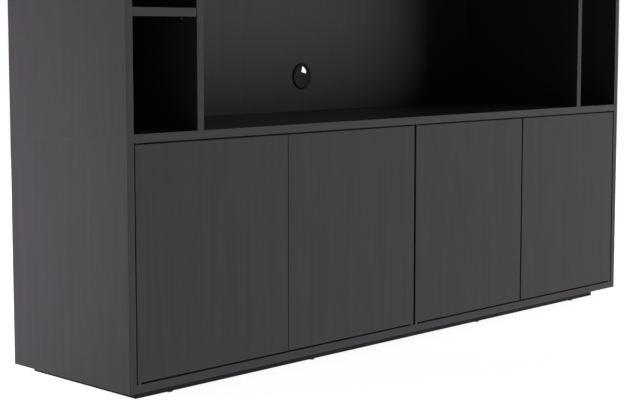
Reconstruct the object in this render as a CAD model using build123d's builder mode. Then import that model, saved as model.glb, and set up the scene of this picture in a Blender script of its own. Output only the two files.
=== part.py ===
"""A wall unit for a television: a base cabinet with four flush doors and an open upper unit.

All lengths are in millimetres. The origin is on the floor, in the middle of the unit's footprint.
X runs to the right, Y from the front to the wall and Z up.
"""

import os

from build123d import *

# Overall size and sheet materials
overall_width = 2000.0
overall_depth = 460.0
overall_height = 2100.0
board_thickness = 20.0
door_thickness = 20.0
back_thickness = 8.0
board_edge_radius = 1.0
seam_edge_radius = 0.2
door_edge_radius = 1.5
cut_overrun = 5.0

# Base cabinet
base_height = 576.0
left_side_gap = 2.5
left_meeting_gap = 1.0
centre_door_gap = 7.0
right_meeting_gap = 5.0
right_side_gap = 4.0
door_level_gap = 4.0
door_rear_gap = 3.5
base_shelf_front_setback = 40.0
shelf_end_play = 0.5
shelf_rear_play = 1.0

# Upper unit
column_clear_width = 190.0
top_row_clear_height = 310.0
column_cubbies = 4
column_shelf_setback = 1.0

# Back panels in their grooves
back_inset = 10.0
groove_depth = 6.0
groove_play = 1.0
groove_side_play = 0.2

# Plinth and glides
plinth_height = 27.0
plinth_rail_thickness = 18.0
plinth_front_setback = 50.0
plinth_side_setback = 56.0
plinth_back_setback = 2.0
glide_height = 3.0
glide_radius = 8.5
glide_edge_radius = 0.8
glide_pin_radius = 1.5
glide_pin_length = 12.0
glide_pin_play = 0.1
outer_glide_inset = 165.0
inner_glide_inset = 650.0

# Dowels
dowel_radius = 4.0
dowel_length = 30.0
dowel_seat_depth = 9.0
dowel_radial_play = 0.1
dowel_end_play = 0.5
dowel_edge_distance = 80.0
plinth_dowel_inset = 420.0

# Shelf supports
support_peg_radius = 2.5
support_peg_length = 9.0
support_peg_play = 0.1
support_rest_length = 8.0
support_rest_width = 10.0
support_rest_height = 6.0
support_edge_distance = 50.0

# Door pivots
pivot_inset = 6.5
pivot_pin_radius = 2.5
pivot_pin_engagement = 11.0
pivot_running_gap = 0.05
bush_radius = 3.5
bush_length = 14.0
bush_seat_play = 0.1
leaf_thickness = 2.0
leaf_length = 64.0
leaf_width = 11.0
leaf_play = 0.2
washer_radius = 6.0
washer_bore_play = 0.1
washer_running_gap = 0.3
leaf_screw_radius = 1.5
leaf_screw_head_radius = 3.0
leaf_screw_length = 14.0
leaf_screw_play = 0.1
leaf_screw_pitch = 17.0
leaf_screw_end_distance = 12.0

# Push latches
latch_edge_distance = 30.0
latch_housing_width = 16.0
latch_housing_height = 16.0
latch_housing_length = 80.0
latch_bore_depth = 72.0
latch_edge_radius = 1.0
plunger_radius = 4.0
plunger_running_gap = 0.05
plunger_length = 66.0
plunger_tip_radius = 1.0
strike_radius = 7.0
strike_thickness = 1.0
strike_gap = 0.3

# Screws that join the two modules
module_screw_radius = 2.5
module_screw_length = 34.0
module_screw_play = 0.1
module_screw_head_radius = 6.0
module_screw_head_height = 3.0
module_screw_outer_inset = 120.0
module_screw_inner_inset = 700.0
module_screw_front_inset = 130.0
module_screw_rear_inset = 110.0

# Cable grommet
grommet_height_above_niche_floor = 102.0
grommet_flange_radius = 39.0
grommet_flange_thickness = 4.0
grommet_rim_thickness = 0.8
grommet_face_radius = 34.5
grommet_sleeve_radius = 33.5
grommet_sleeve_length = 10.0
grommet_bore_radius = 31.5
grommet_hole_play = 0.3
grommet_ledge_radius = 29.5
grommet_ledge_thickness = 2.0
cap_thickness = 2.7
cap_recess = 0.5
cap_running_gap = 0.05
cap_ledge_gap = 0.3
cap_notch_width = 21.0
cap_notch_foot = 11.5
cap_notch_offset = 3.4
cap_notch_corner_radius = 2.0
cap_notch_turn = 15.0

# Wall brackets
bracket_width = 30.0
bracket_leg = 40.0
bracket_thickness = 2.0
bracket_bend_radius = 1.5
bracket_wall_hole_radius = 3.0
bracket_wall_hole_drop = 25.0
bracket_panel_hole_radius = 4.5
bracket_screw_hole_radius = 2.2
bracket_screw_inset = 20.0
bracket_screw_radius = 2.0
bracket_screw_length = 15.0
bracket_screw_head_radius = 4.0
bracket_screw_head_height = 2.0
bracket_screw_play = 0.1

# Places that follow from the sizes above
side_x = overall_width / 2
inner_x = side_x - board_thickness
front_y = -overall_depth / 2
rear_y = overall_depth / 2
back_rear_y = rear_y - back_inset
back_face_y = back_rear_y - back_thickness
base_z = glide_height + plinth_height
bay_floor_z = base_z + board_thickness
seam_z = base_z + base_height
bay_roof_z = seam_z - board_thickness
niche_floor_z = seam_z + board_thickness
top_row_roof_z = overall_height - board_thickness
top_row_floor_z = top_row_roof_z - top_row_clear_height
niche_roof_z = top_row_floor_z - board_thickness
column_pitch = (niche_roof_z - niche_floor_z + board_thickness) / column_cubbies
divider_outer_x = inner_x - column_clear_width
divider_inner_x = divider_outer_x - board_thickness
divider_mid_x = (divider_outer_x + divider_inner_x) / 2

door_gaps = left_side_gap + left_meeting_gap + centre_door_gap + right_meeting_gap + right_side_gap
door_width = (2 * inner_x - door_gaps) / 4
door_low_z = bay_floor_z + door_level_gap
door_high_z = seam_z - door_level_gap
door_back_y = front_y + door_thickness
carcass_front_y = door_back_y + door_rear_gap
pivot_y = front_y + pivot_inset

# Each door: its left edge and the side that its pivots are on, -1 for the left edge
door_1_left = -inner_x + left_side_gap
door_2_left = door_1_left + door_width + left_meeting_gap
door_3_left = door_2_left + door_width + centre_door_gap
door_4_left = door_3_left + door_width + right_meeting_gap
doors = {1: (door_1_left, -1), 2: (door_2_left, 1), 3: (door_3_left, -1), 4: (door_4_left, 1)}

dowel_rows_y = (front_y + dowel_edge_distance, back_face_y - dowel_edge_distance)
dowel_hole_radius = dowel_radius + dowel_radial_play
face_hole_depth = dowel_seat_depth + dowel_end_play
end_hole_depth = dowel_length - dowel_seat_depth + dowel_end_play
front_rail_y = front_y + plinth_front_setback + plinth_rail_thickness / 2
back_rail_y = rear_y - plinth_back_setback - plinth_rail_thickness / 2
side_rail_x = side_x - plinth_side_setback - plinth_rail_thickness / 2
hands = (-1, 1)
glide_insets = (outer_glide_inset, inner_glide_inset)
glide_xs = [hand * (side_x - inset) for hand in hands for inset in glide_insets]
rail_ys = (front_rail_y, back_rail_y)
plinth_dowels = [(hand * (side_x - plinth_dowel_inset), y) for hand in hands for y in rail_ys]
plinth_dowels += [(hand * side_rail_x, 0) for hand in hands]
module_screw_insets = (module_screw_outer_inset, module_screw_inner_inset)
module_screw_xs = [hand * (side_x - inset) for hand in hands for inset in module_screw_insets]
module_screw_ys = (front_y + module_screw_front_inset, back_face_y - module_screw_rear_inset)
grommet_z = niche_floor_z + grommet_height_above_niche_floor
bracket_x = (inner_x + divider_outer_x) / 2
bracket_hole_z = top_row_roof_z - bracket_wall_hole_drop
bracket_screw_y = back_face_y - bracket_screw_inset

# The ways that most round pieces point
along_y, along_z = (0, 1, 0), (0, 0, 1)


def slab(x, y, z, mode=Mode.ADD):
    """A block in the current part, each argument its lowest and highest place on that axis."""
    with Locations((sum(x) / 2, sum(y) / 2, sum(z) / 2)):
        Box(x[1] - x[0], y[1] - y[0], z[1] - z[0], mode=mode)


def rod(start, direction, radius, length, mode=Mode.ADD):
    """A round rod in the current part, or a hole, from its start along a direction."""
    with Locations(Plane(origin=start, z_dir=direction).location):
        Cylinder(radius, length, align=(Align.CENTER, Align.CENTER, Align.MIN), mode=mode)


def bore(start, direction, radius, depth):
    """A blind hole in the current part."""
    rod(start, direction, radius, depth, mode=Mode.SUBTRACT)


def groove(x, z):
    """The slot that holds the edge of a back panel, cut into the current part."""
    slab(x, (back_face_y - groove_side_play, back_rear_y + groove_side_play), z, mode=Mode.SUBTRACT)


def round_front(part, axis):
    """Eases the front edges of the current board, which run along the given axis."""
    fillet(part.edges().filter_by(axis).group_by(Axis.Y)[0], board_edge_radius)


def end_dowel_holes(z):
    """Holes for the dowels in both ends of a board that runs from side to side."""
    for hand in hands:
        for y in dowel_rows_y:
            bore((hand * inner_x, y, z), (-hand, 0, 0), dowel_hole_radius, end_hole_depth)


def side_dowel_holes(hand, levels):
    """Holes for the same dowels in the inner face of a side."""
    for z in levels:
        for y in dowel_rows_y:
            bore((hand * inner_x, y, z), (hand, 0, 0), dowel_hole_radius, face_hole_depth)


def face_dowel_holes(xs, z, up):
    """Holes in the face of a level board for the dowels of the upright that stands against it."""
    for x in xs:
        for y in dowel_rows_y:
            bore((x, y, z), (0, 0, up), dowel_hole_radius, face_hole_depth)


def upright_dowel_holes(x, low_z, high_z):
    """Holes for those dowels in the two ends of the upright."""
    for z, up in ((low_z, 1), (high_z, -1)):
        for y in dowel_rows_y:
            bore((x, y, z), (0, 0, up), dowel_hole_radius, end_hole_depth)


def support_holes(face_x, hand, shelf_z, rows):
    """Holes in an upright for the pegs of the shelf supports."""
    radius = support_peg_radius + support_peg_play
    for y in rows:
        start = (face_x, y, shelf_z - support_rest_height / 2)
        bore(start, (hand, 0, 0), radius, support_peg_length + support_peg_play)


def level_mid(z):
    """The middle height of a level board, from its underside."""
    return z + board_thickness / 2


# Shelf levels and the rows of their supports: the right column has one shelf, halfway up
floor_underside_z = niche_floor_z - board_thickness
column_levels = [floor_underside_z + level * column_pitch for level in range(1, column_cubbies)]
right_levels = [level for index, level in enumerate(column_levels, start=1) if 2 * index == column_cubbies]
base_shelf_z = (bay_floor_z + bay_roof_z - board_thickness) / 2
base_shelf_front_y = carcass_front_y + base_shelf_front_setback
shelf_rear_y = back_face_y - shelf_rear_play
base_support_rows = (base_shelf_front_y + support_edge_distance, shelf_rear_y - support_edge_distance)
column_front_y = front_y + column_shelf_setback
column_support_rows = (column_front_y + support_edge_distance, shelf_rear_y - support_edge_distance)
panel_reach = groove_depth - groove_play


def base_side(hand):
    """One side of the base cabinet, -1 for the left one."""
    inner, outer = hand * inner_x, hand * side_x
    with BuildPart() as side:
        slab(sorted((inner, outer)), (front_y, rear_y), (base_z, seam_z))
        round_front(side, Axis.Z)
        seam_edges = side.edges().filter_by(Axis.Y).group_by(Axis.Z)[-1].sort_by(Axis.X)
        fillet(seam_edges[0] if hand < 0 else seam_edges[-1], seam_edge_radius)
        slot = sorted((inner, inner + hand * groove_depth))
        groove(slot, (bay_floor_z - groove_depth, bay_roof_z + groove_depth))
        side_dowel_holes(hand, (level_mid(base_z), level_mid(bay_roof_z)))
        support_holes(inner, hand, base_shelf_z, base_support_rows)
    return side.part


def base_bottom():
    """The board under the base cabinet, between its sides."""
    with BuildPart() as bottom:
        slab((-inner_x, inner_x), (front_y, rear_y), (base_z, bay_floor_z))
        round_front(bottom, Axis.X)
        groove((-inner_x, inner_x), (bay_floor_z - groove_depth, bay_floor_z))
        end_dowel_holes(level_mid(base_z))
        face_dowel_holes((0,), bay_floor_z, -1)
        for x, y in plinth_dowels:
            bore((x, y, base_z), along_z, dowel_hole_radius, face_hole_depth)
        leaf_recess(bay_floor_z)
        leaf_screw_holes(bay_floor_z - leaf_thickness)
    return bottom.part


def base_top():
    """The board over the base cabinet, behind the doors."""
    with BuildPart() as top:
        slab((-inner_x, inner_x), (carcass_front_y, rear_y), (bay_roof_z, seam_z))
        round_front(top, Axis.X)
        groove((-inner_x, inner_x), (bay_roof_z, bay_roof_z + groove_depth))
        end_dowel_holes(level_mid(bay_roof_z))
        face_dowel_holes((0,), bay_roof_z, 1)
        leaf_recess(seam_z)
        leaf_screw_holes(seam_z - leaf_thickness)
        for x in module_screw_xs:
            for y in module_screw_ys:
                bore((x, y, bay_roof_z), along_z, module_screw_radius + module_screw_play, board_thickness)
    return top.part


def base_divider():
    """The upright in the middle of the base cabinet, behind the doors."""
    half = board_thickness / 2
    with BuildPart() as divider:
        slab((-half, half), (carcass_front_y, back_face_y), (bay_floor_z, bay_roof_z))
        round_front(divider, Axis.Z)
        upright_dowel_holes(0, bay_floor_z, bay_roof_z)
        for hand in hands:
            support_holes(hand * half, -hand, base_shelf_z, base_support_rows)
    return divider.part


def base_back():
    """The back panel of the base cabinet, held in grooves on four edges."""
    reach = inner_x + panel_reach
    with BuildPart() as back:
        levels = (bay_floor_z - panel_reach, bay_roof_z + panel_reach)
        slab((-reach, reach), (back_face_y, back_rear_y), levels)
    return back.part


def base_shelf(hand):
    """The loose shelf in one bay of the base cabinet."""
    near, far = hand * (board_thickness / 2 + shelf_end_play), hand * (inner_x - shelf_end_play)
    levels = (base_shelf_z, base_shelf_z + board_thickness)
    with BuildPart() as shelf:
        slab(sorted((near, far)), (base_shelf_front_y, shelf_rear_y), levels)
        round_front(shelf, Axis.X)
    return shelf.part


def supports(places):
    """Shelf supports: a peg in the upright and a flat rest under the shelf, one for each place."""
    with BuildPart() as group:
        for face_x, hand, shelf_z, rows in places:
            for y in rows:
                height = shelf_z - support_rest_height / 2
                rod((face_x, y, height), (hand, 0, 0), support_peg_radius, support_peg_length)
                half = support_rest_width / 2
                rest = sorted((face_x, face_x - hand * support_rest_length))
                slab(rest, (y - half, y + half), (shelf_z - support_rest_height, shelf_z))
    return group.part


def plinth_rail(x, y):
    """A rail of the recessed plinth, bored from above for the dowels that fall in it."""
    with BuildPart() as rail:
        slab(x, y, (glide_height, base_z))
        for dowel_x, dowel_y in plinth_dowels:
            if x[0] < dowel_x < x[1] and y[0] < dowel_y < y[1]:
                bore((dowel_x, dowel_y, base_z), (0, 0, -1), dowel_hole_radius, end_hole_depth)
        for glide_x in glide_xs:
            for glide_y in rail_ys:
                if x[0] < glide_x < x[1] and y[0] < glide_y < y[1]:
                    radius = glide_pin_radius + glide_pin_play
                    depth = glide_pin_length + glide_pin_play
                    bore((glide_x, glide_y, glide_height), along_z, radius, depth)
    return rail.part


def glides():
    """Glides with a pin that is driven into the front and back rails."""
    with BuildPart() as group:
        for x in glide_xs:
            for y in rail_ys:
                rod((x, y, 0), along_z, glide_radius, glide_height)
                rod((x, y, glide_height), along_z, glide_pin_radius, glide_pin_length)
        fillet(group.edges().filter_by(GeomType.CIRCLE).group_by(Axis.Z)[0], glide_edge_radius)
    return group.part


def pivot_x(number):
    """Where the pivot of a door is."""
    left, hand = doors[number]
    return left + pivot_inset if hand < 0 else left + door_width - pivot_inset


def latch_x(number):
    """Where the push latch of a door is, near the edge away from its pivots."""
    left, hand = doors[number]
    return left + door_width - latch_edge_distance if hand < 0 else left + latch_edge_distance


latch_z = bay_roof_z - latch_housing_height / 2


def door(number):
    """A flush door with a blind hole for a pivot bush in its top and its bottom edge."""
    left = doors[number][0]
    with BuildPart() as leaf:
        slab((left, left + door_width), (front_y, door_back_y), (door_low_z, door_high_z))
        fillet(leaf.edges(), door_edge_radius)
        for z, up in ((door_low_z, 1), (door_high_z, -1)):
            seat = bush_radius + bush_seat_play
            bore((pivot_x(number), pivot_y, z), (0, 0, up), seat, bush_length + bush_seat_play)
    return leaf.part


def door_fittings(number):
    """The two pivot bushes of a door and the strike plate that its latch pushes on."""
    with BuildPart() as group:
        for z, up in ((door_low_z, 1), (door_high_z, -1)):
            mouth = (pivot_x(number), pivot_y, z)
            rod(mouth, (0, 0, up), bush_radius, bush_length)
            bore(mouth, (0, 0, up), pivot_pin_radius + pivot_running_gap, bush_length)
        rod((latch_x(number), door_back_y, latch_z), along_y, strike_radius, strike_thickness)
    return group.part


def leaf_centre_y():
    """The middle of a pivot leaf, whose round front end is centred on the pin."""
    return pivot_y - leaf_width / 2 + leaf_length / 2


def leaf_screw_ys():
    """The two screws of a pivot leaf, counted from its rear end."""
    last = leaf_centre_y() + leaf_length / 2 - leaf_screw_end_distance
    return (last - leaf_screw_pitch, last)


def leaf_recess(face_z):
    """The shallow slots in a board's upper face that the pivot leaves lie in."""
    for number in doors:
        sketch_plane = Plane.XY.offset(face_z - leaf_thickness)
        with BuildSketch(sketch_plane, mode=Mode.PRIVATE) as outline:
            with Locations((pivot_x(number), leaf_centre_y())):
                SlotOverall(leaf_length + 2 * leaf_play, leaf_width + 2 * leaf_play, rotation=90)
        extrude(outline.sketch, amount=leaf_thickness + cut_overrun, mode=Mode.SUBTRACT)


def leaf_screw_holes(face_z):
    """Pilot holes for the leaf screws, down from the bottom of the slots."""
    depth = leaf_screw_length - leaf_thickness + leaf_screw_play
    for number in doors:
        for y in leaf_screw_ys():
            bore((pivot_x(number), y, face_z), (0, 0, -1), leaf_screw_radius + leaf_screw_play, depth)


def pivot_leaves(face_z, up):
    """Steel leaves, each with a riveted pin that points up or down into its door."""
    with BuildPart() as group:
        for number in doors:
            with BuildSketch(Plane.XY.offset(face_z - leaf_thickness)):
                with Locations((pivot_x(number), leaf_centre_y())):
                    SlotOverall(leaf_length, leaf_width, rotation=90)
            extrude(amount=leaf_thickness)
        for number in doors:
            start_z = face_z if up > 0 else face_z - leaf_thickness
            gap = door_level_gap if up > 0 else door_level_gap - leaf_thickness
            start = (pivot_x(number), pivot_y, start_z)
            rod(start, (0, 0, up), pivot_pin_radius, gap + pivot_pin_engagement)
            for y in leaf_screw_ys():
                with Locations((pivot_x(number), y, face_z - leaf_thickness / 2)):
                    low_radius = leaf_screw_radius + leaf_screw_play
                    high_radius = leaf_screw_head_radius + leaf_screw_play
                    Cone(low_radius, high_radius, leaf_thickness, mode=Mode.SUBTRACT)
    return group.part


def pivot_washers():
    """The washer on each bottom leaf that the door's bush turns over."""
    thickness = door_level_gap - washer_running_gap
    with BuildPart() as group:
        for number in doors:
            centre = (pivot_x(number), pivot_y, bay_floor_z)
            rod(centre, along_z, washer_radius, thickness)
            bore(centre, along_z, pivot_pin_radius + washer_bore_play, thickness)
    return group.part


def leaf_screws():
    """Countersunk screws through the pivot leaves, two in each."""
    with BuildPart() as group:
        for face_z in (bay_floor_z, seam_z):
            for number in doors:
                for y in leaf_screw_ys():
                    with Locations((pivot_x(number), y, face_z - leaf_thickness / 2)):
                        Cone(leaf_screw_radius, leaf_screw_head_radius, leaf_thickness)
                    neck = (pivot_x(number), y, face_z - leaf_thickness)
                    rod(neck, (0, 0, -1), leaf_screw_radius, leaf_screw_length - leaf_thickness)
    return group.part


def latch_housings():
    """The housings of the push latches, under the base cabinet's top board."""
    half = latch_housing_width / 2
    with BuildPart() as group:
        for number in doors:
            x = latch_x(number)
            ends = (carcass_front_y, carcass_front_y + latch_housing_length)
            levels = (bay_roof_z - latch_housing_height, bay_roof_z)
            slab((x - half, x + half), ends, levels)
        fillet(group.edges().filter_by(Axis.Y).group_by(Axis.Z)[0], latch_edge_radius)
        for number in doors:
            start = (latch_x(number), carcass_front_y, latch_z)
            bore(start, along_y, plunger_radius + plunger_running_gap, latch_bore_depth)
    return group.part


def latch_plunger(number):
    """The plunger of one push latch, pushed home by the closed door."""
    tip_y = door_back_y + strike_thickness + strike_gap
    with BuildPart() as plunger:
        rod((latch_x(number), tip_y, latch_z), along_y, plunger_radius, plunger_length)
        fillet(plunger.edges().filter_by(GeomType.CIRCLE).sort_by(Axis.Y)[0], plunger_tip_radius)
    return plunger.part


def upper_side(hand):
    """One side of the upper unit, -1 for the left one."""
    inner, outer = hand * inner_x, hand * side_x
    levels = column_levels if hand < 0 else right_levels
    with BuildPart() as side:
        slab(sorted((inner, outer)), (front_y, rear_y), (seam_z, overall_height))
        round_front(side, Axis.Z)
        seam_edges = side.edges().filter_by(Axis.Y).group_by(Axis.Z)[0].sort_by(Axis.X)
        fillet(seam_edges[0] if hand < 0 else seam_edges[-1], seam_edge_radius)
        slot = sorted((inner, inner + hand * groove_depth))
        groove(slot, (niche_floor_z - groove_depth, niche_roof_z + groove_depth))
        groove(slot, (top_row_floor_z - groove_depth, top_row_roof_z + groove_depth))
        side_dowel_holes(hand, (level_mid(seam_z), level_mid(niche_roof_z), level_mid(top_row_roof_z)))
        for z in levels:
            support_holes(inner, hand, z, column_support_rows)
    return side.part


def upper_bottom():
    """The bottom board of the upper unit, whose upper face is the floor of the niche."""
    with BuildPart() as bottom:
        slab((-inner_x, inner_x), (front_y, rear_y), (seam_z, niche_floor_z))
        round_front(bottom, Axis.X)
        groove((-inner_x, inner_x), (niche_floor_z - groove_depth, niche_floor_z))
        end_dowel_holes(level_mid(seam_z))
        face_dowel_holes((-divider_mid_x, divider_mid_x), niche_floor_z, -1)
        for x in module_screw_xs:
            for y in module_screw_ys:
                depth = module_screw_length - board_thickness + module_screw_play
                bore((x, y, seam_z), along_z, module_screw_radius + module_screw_play, depth)
    return bottom.part


def upper_divider(hand):
    """The upright between a side column and the niche."""
    inner, outer = hand * divider_inner_x, hand * divider_outer_x
    levels = column_levels if hand < 0 else right_levels
    with BuildPart() as divider:
        slab(sorted((inner, outer)), (front_y, rear_y), (niche_floor_z, niche_roof_z))
        round_front(divider, Axis.Z)
        for face, inward in ((inner, hand), (outer, -hand)):
            groove(sorted((face, face + inward * groove_depth)), (niche_floor_z, niche_roof_z))
        upright_dowel_holes(hand * divider_mid_x, niche_floor_z, niche_roof_z)
        for z in levels:
            support_holes(outer, -hand, z, column_support_rows)
    return divider.part


def niche_top():
    """The full-width board over the niche and the two columns."""
    with BuildPart() as board:
        slab((-inner_x, inner_x), (front_y, rear_y), (niche_roof_z, top_row_floor_z))
        round_front(board, Axis.X)
        groove((-inner_x, inner_x), (niche_roof_z, niche_roof_z + groove_depth))
        groove((-inner_x, inner_x), (top_row_floor_z - groove_depth, top_row_floor_z))
        end_dowel_holes(level_mid(niche_roof_z))
        face_dowel_holes((-divider_mid_x, divider_mid_x), niche_roof_z, 1)
        face_dowel_holes((-divider_mid_x, divider_mid_x), top_row_floor_z, -1)
    return board.part


def top_partition(hand):
    """An upright in the top row, above a divider of the niche."""
    faces = sorted((hand * divider_inner_x, hand * divider_outer_x))
    with BuildPart() as partition:
        slab(faces, (front_y, back_face_y), (top_row_floor_z, top_row_roof_z))
        round_front(partition, Axis.Z)
        upright_dowel_holes(hand * divider_mid_x, top_row_floor_z, top_row_roof_z)
    return partition.part


def upper_top():
    """The top board of the upper unit, between its sides."""
    with BuildPart() as board:
        slab((-inner_x, inner_x), (front_y, rear_y), (top_row_roof_z, overall_height))
        round_front(board, Axis.X)
        groove((-inner_x, inner_x), (top_row_roof_z, top_row_roof_z + groove_depth))
        end_dowel_holes(level_mid(top_row_roof_z))
        face_dowel_holes((-divider_mid_x, divider_mid_x), top_row_roof_z, 1)
        for hand in hands:
            start = (hand * bracket_x, bracket_screw_y, top_row_roof_z)
            radius = bracket_screw_radius + bracket_screw_play
            depth = bracket_screw_length - bracket_thickness + bracket_screw_play
            bore(start, along_z, radius, depth)
    return board.part


def column_shelf(hand, z):
    """A loose shelf in a side column."""
    near, far = hand * (divider_outer_x + shelf_end_play), hand * (inner_x - shelf_end_play)
    with BuildPart() as shelf:
        slab(sorted((near, far)), (column_front_y, shelf_rear_y), (z, z + board_thickness))
        round_front(shelf, Axis.X)
    return shelf.part


def column_back(hand):
    """The back panel behind a side column."""
    near, far = hand * (divider_outer_x - panel_reach), hand * (inner_x + panel_reach)
    with BuildPart() as back:
        levels = (niche_floor_z - panel_reach, niche_roof_z + panel_reach)
        slab(sorted((near, far)), (back_face_y, back_rear_y), levels)
    return back.part


def niche_back():
    """The back panel of the niche, with the hole for the cable grommet."""
    reach = divider_inner_x + panel_reach
    levels = (niche_floor_z - panel_reach, niche_roof_z + panel_reach)
    with BuildPart() as back:
        slab((-reach, reach), (back_face_y, back_rear_y), levels)
        hole_radius = grommet_sleeve_radius + grommet_hole_play
        bore((0, back_face_y, grommet_z), along_y, hole_radius, back_thickness)
    return back.part


def top_back():
    """The back panel behind the top row, with holes for the wall fixings."""
    reach = inner_x + panel_reach
    with BuildPart() as back:
        levels = (top_row_floor_z - panel_reach, top_row_roof_z + panel_reach)
        slab((-reach, reach), (back_face_y, back_rear_y), levels)
        for hand in hands:
            wall_hole = (hand * bracket_x, back_face_y, bracket_hole_z)
            bore(wall_hole, along_y, bracket_panel_hole_radius, back_thickness)
    return back.part


def grommet_ring():
    """The ring of the cable grommet: a flange on the panel, a sleeve through it and a ledge for the cap."""
    front = back_face_y - grommet_flange_thickness
    rim_y = back_face_y - grommet_rim_thickness
    with BuildPart() as ring:
        rod((0, rim_y, grommet_z), along_y, grommet_flange_radius, grommet_rim_thickness)
        with Locations(Plane(origin=(0, (front + rim_y) / 2, grommet_z), z_dir=(0, -1, 0)).location):
            Cone(grommet_flange_radius, grommet_face_radius, rim_y - front)
        rod((0, back_face_y, grommet_z), along_y, grommet_sleeve_radius, grommet_sleeve_length)
        whole = grommet_flange_thickness + grommet_sleeve_length
        bore((0, front, grommet_z), along_y, grommet_bore_radius, whole)
        ledge_y = front + cap_recess + cap_thickness + cap_ledge_gap
        rod((0, ledge_y, grommet_z), along_y, grommet_bore_radius, grommet_ledge_thickness)
        bore((0, ledge_y, grommet_z), along_y, grommet_ledge_radius, grommet_ledge_thickness)
    return ring.part


def grommet_cap():
    """The cap of the cable grommet, with a notch from its rim that the cables pass through."""
    face_y = back_face_y - grommet_flange_thickness + cap_recess
    centre = (0, face_y, grommet_z)
    half = cap_notch_width / 2
    sides = (cap_notch_offset - half, cap_notch_offset + half)
    with BuildPart() as cap:
        rod(centre, along_y, grommet_bore_radius - cap_running_gap, cap_thickness)
        with Locations(Location(centre, (0, cap_notch_turn, 0))):
            slab(sides, (0, cap_thickness), (cap_notch_foot, grommet_bore_radius), mode=Mode.SUBTRACT)
        fillet(cap.edges().filter_by(Axis.Y).sort_by_distance(centre)[:2], cap_notch_corner_radius)
    return cap.part


def module_screws():
    """The screws that pull the base cabinet and the upper unit together."""
    with BuildPart() as group:
        for x in module_screw_xs:
            for y in module_screw_ys:
                rod((x, y, bay_roof_z), along_z, module_screw_radius, module_screw_length)
                rod((x, y, bay_roof_z), (0, 0, -1), module_screw_head_radius, module_screw_head_height)
    return group.part


def wall_brackets():
    """Steel angles under the top board that tie the unit to the wall."""
    half = bracket_width / 2
    with BuildPart() as group:
        for hand in hands:
            x = (hand * bracket_x - half, hand * bracket_x + half)
            plate_low, plate_front = top_row_roof_z - bracket_thickness, back_face_y - bracket_thickness
            slab(x, (back_face_y - bracket_leg, back_face_y), (plate_low, top_row_roof_z))
            slab(x, (plate_front, back_face_y), (top_row_roof_z - bracket_leg, top_row_roof_z))
            screw_hole = (hand * bracket_x, bracket_screw_y, plate_low)
            bore(screw_hole, along_z, bracket_screw_hole_radius, bracket_thickness)
            wall_hole = (hand * bracket_x, plate_front, bracket_hole_z)
            bore(wall_hole, along_y, bracket_wall_hole_radius, bracket_thickness)
        bends = group.edges().filter_by(Axis.X).group_by(Axis.Y)[-1].group_by(Axis.Z)[-1]
        fillet(bends, bracket_bend_radius)
    return group.part


def bracket_screws():
    """The screws that hold the brackets to the top board."""
    with BuildPart() as group:
        for hand in hands:
            start = (hand * bracket_x, bracket_screw_y, top_row_roof_z - bracket_thickness)
            rod(start, along_z, bracket_screw_radius, bracket_screw_length)
            rod(start, (0, 0, -1), bracket_screw_head_radius, bracket_screw_head_height)
    return group.part


def level_dowel(hand, y, z):
    """A dowel from a side into the end of a level board, in the current part."""
    start = (hand * (inner_x + dowel_seat_depth), y, z)
    rod(start, (-hand, 0, 0), dowel_radius, dowel_length)


def upright_dowel(x, y, z, up):
    """A dowel from the face of a level board into the end of an upright, in the current part."""
    rod((x, y, z - up * dowel_seat_depth), (0, 0, up), dowel_radius, dowel_length)


def base_dowels():
    """The wooden dowels of the base cabinet and its plinth."""
    with BuildPart() as group:
        for y in dowel_rows_y:
            for hand in hands:
                for z in (base_z, bay_roof_z):
                    level_dowel(hand, y, level_mid(z))
            upright_dowel(0, y, bay_floor_z, 1)
            upright_dowel(0, y, bay_roof_z, -1)
        for x, y in plinth_dowels:
            upright_dowel(x, y, base_z, -1)
    return group.part


def upper_dowels():
    """The wooden dowels of the upper unit."""
    with BuildPart() as group:
        for y in dowel_rows_y:
            for hand in hands:
                for z in (seam_z, niche_roof_z, top_row_roof_z):
                    level_dowel(hand, y, level_mid(z))
                for low_z, high_z in ((niche_floor_z, niche_roof_z), (top_row_floor_z, top_row_roof_z)):
                    upright_dowel(hand * divider_mid_x, y, low_z, 1)
                    upright_dowel(hand * divider_mid_x, y, high_z, -1)
    return group.part


rail_half = plinth_rail_thickness / 2
side_rail_outer_x = side_rail_x + rail_half
side_rail_inner_x = side_rail_x - rail_half
full_rail_span = (-side_rail_outer_x, side_rail_outer_x)
side_rail_span = (front_rail_y + rail_half, back_rail_y - rail_half)
front_rail_span = (front_rail_y - rail_half, front_rail_y + rail_half)
back_rail_span = (back_rail_y - rail_half, back_rail_y + rail_half)

# The faces that shelf supports stand in, each with the way into it, the shelf's underside and the rows
base_support_places = [(hand * inner_x, hand, base_shelf_z, base_support_rows) for hand in hands]
half_board = board_thickness / 2
base_support_places += [(hand * half_board, -hand, base_shelf_z, base_support_rows) for hand in hands]
column_support_places = []
for hand, levels in ((-1, column_levels), (1, right_levels)):
    for z in levels:
        column_support_places.append((hand * inner_x, hand, z, column_support_rows))
        column_support_places.append((hand * divider_outer_x, -hand, z, column_support_rows))

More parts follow.
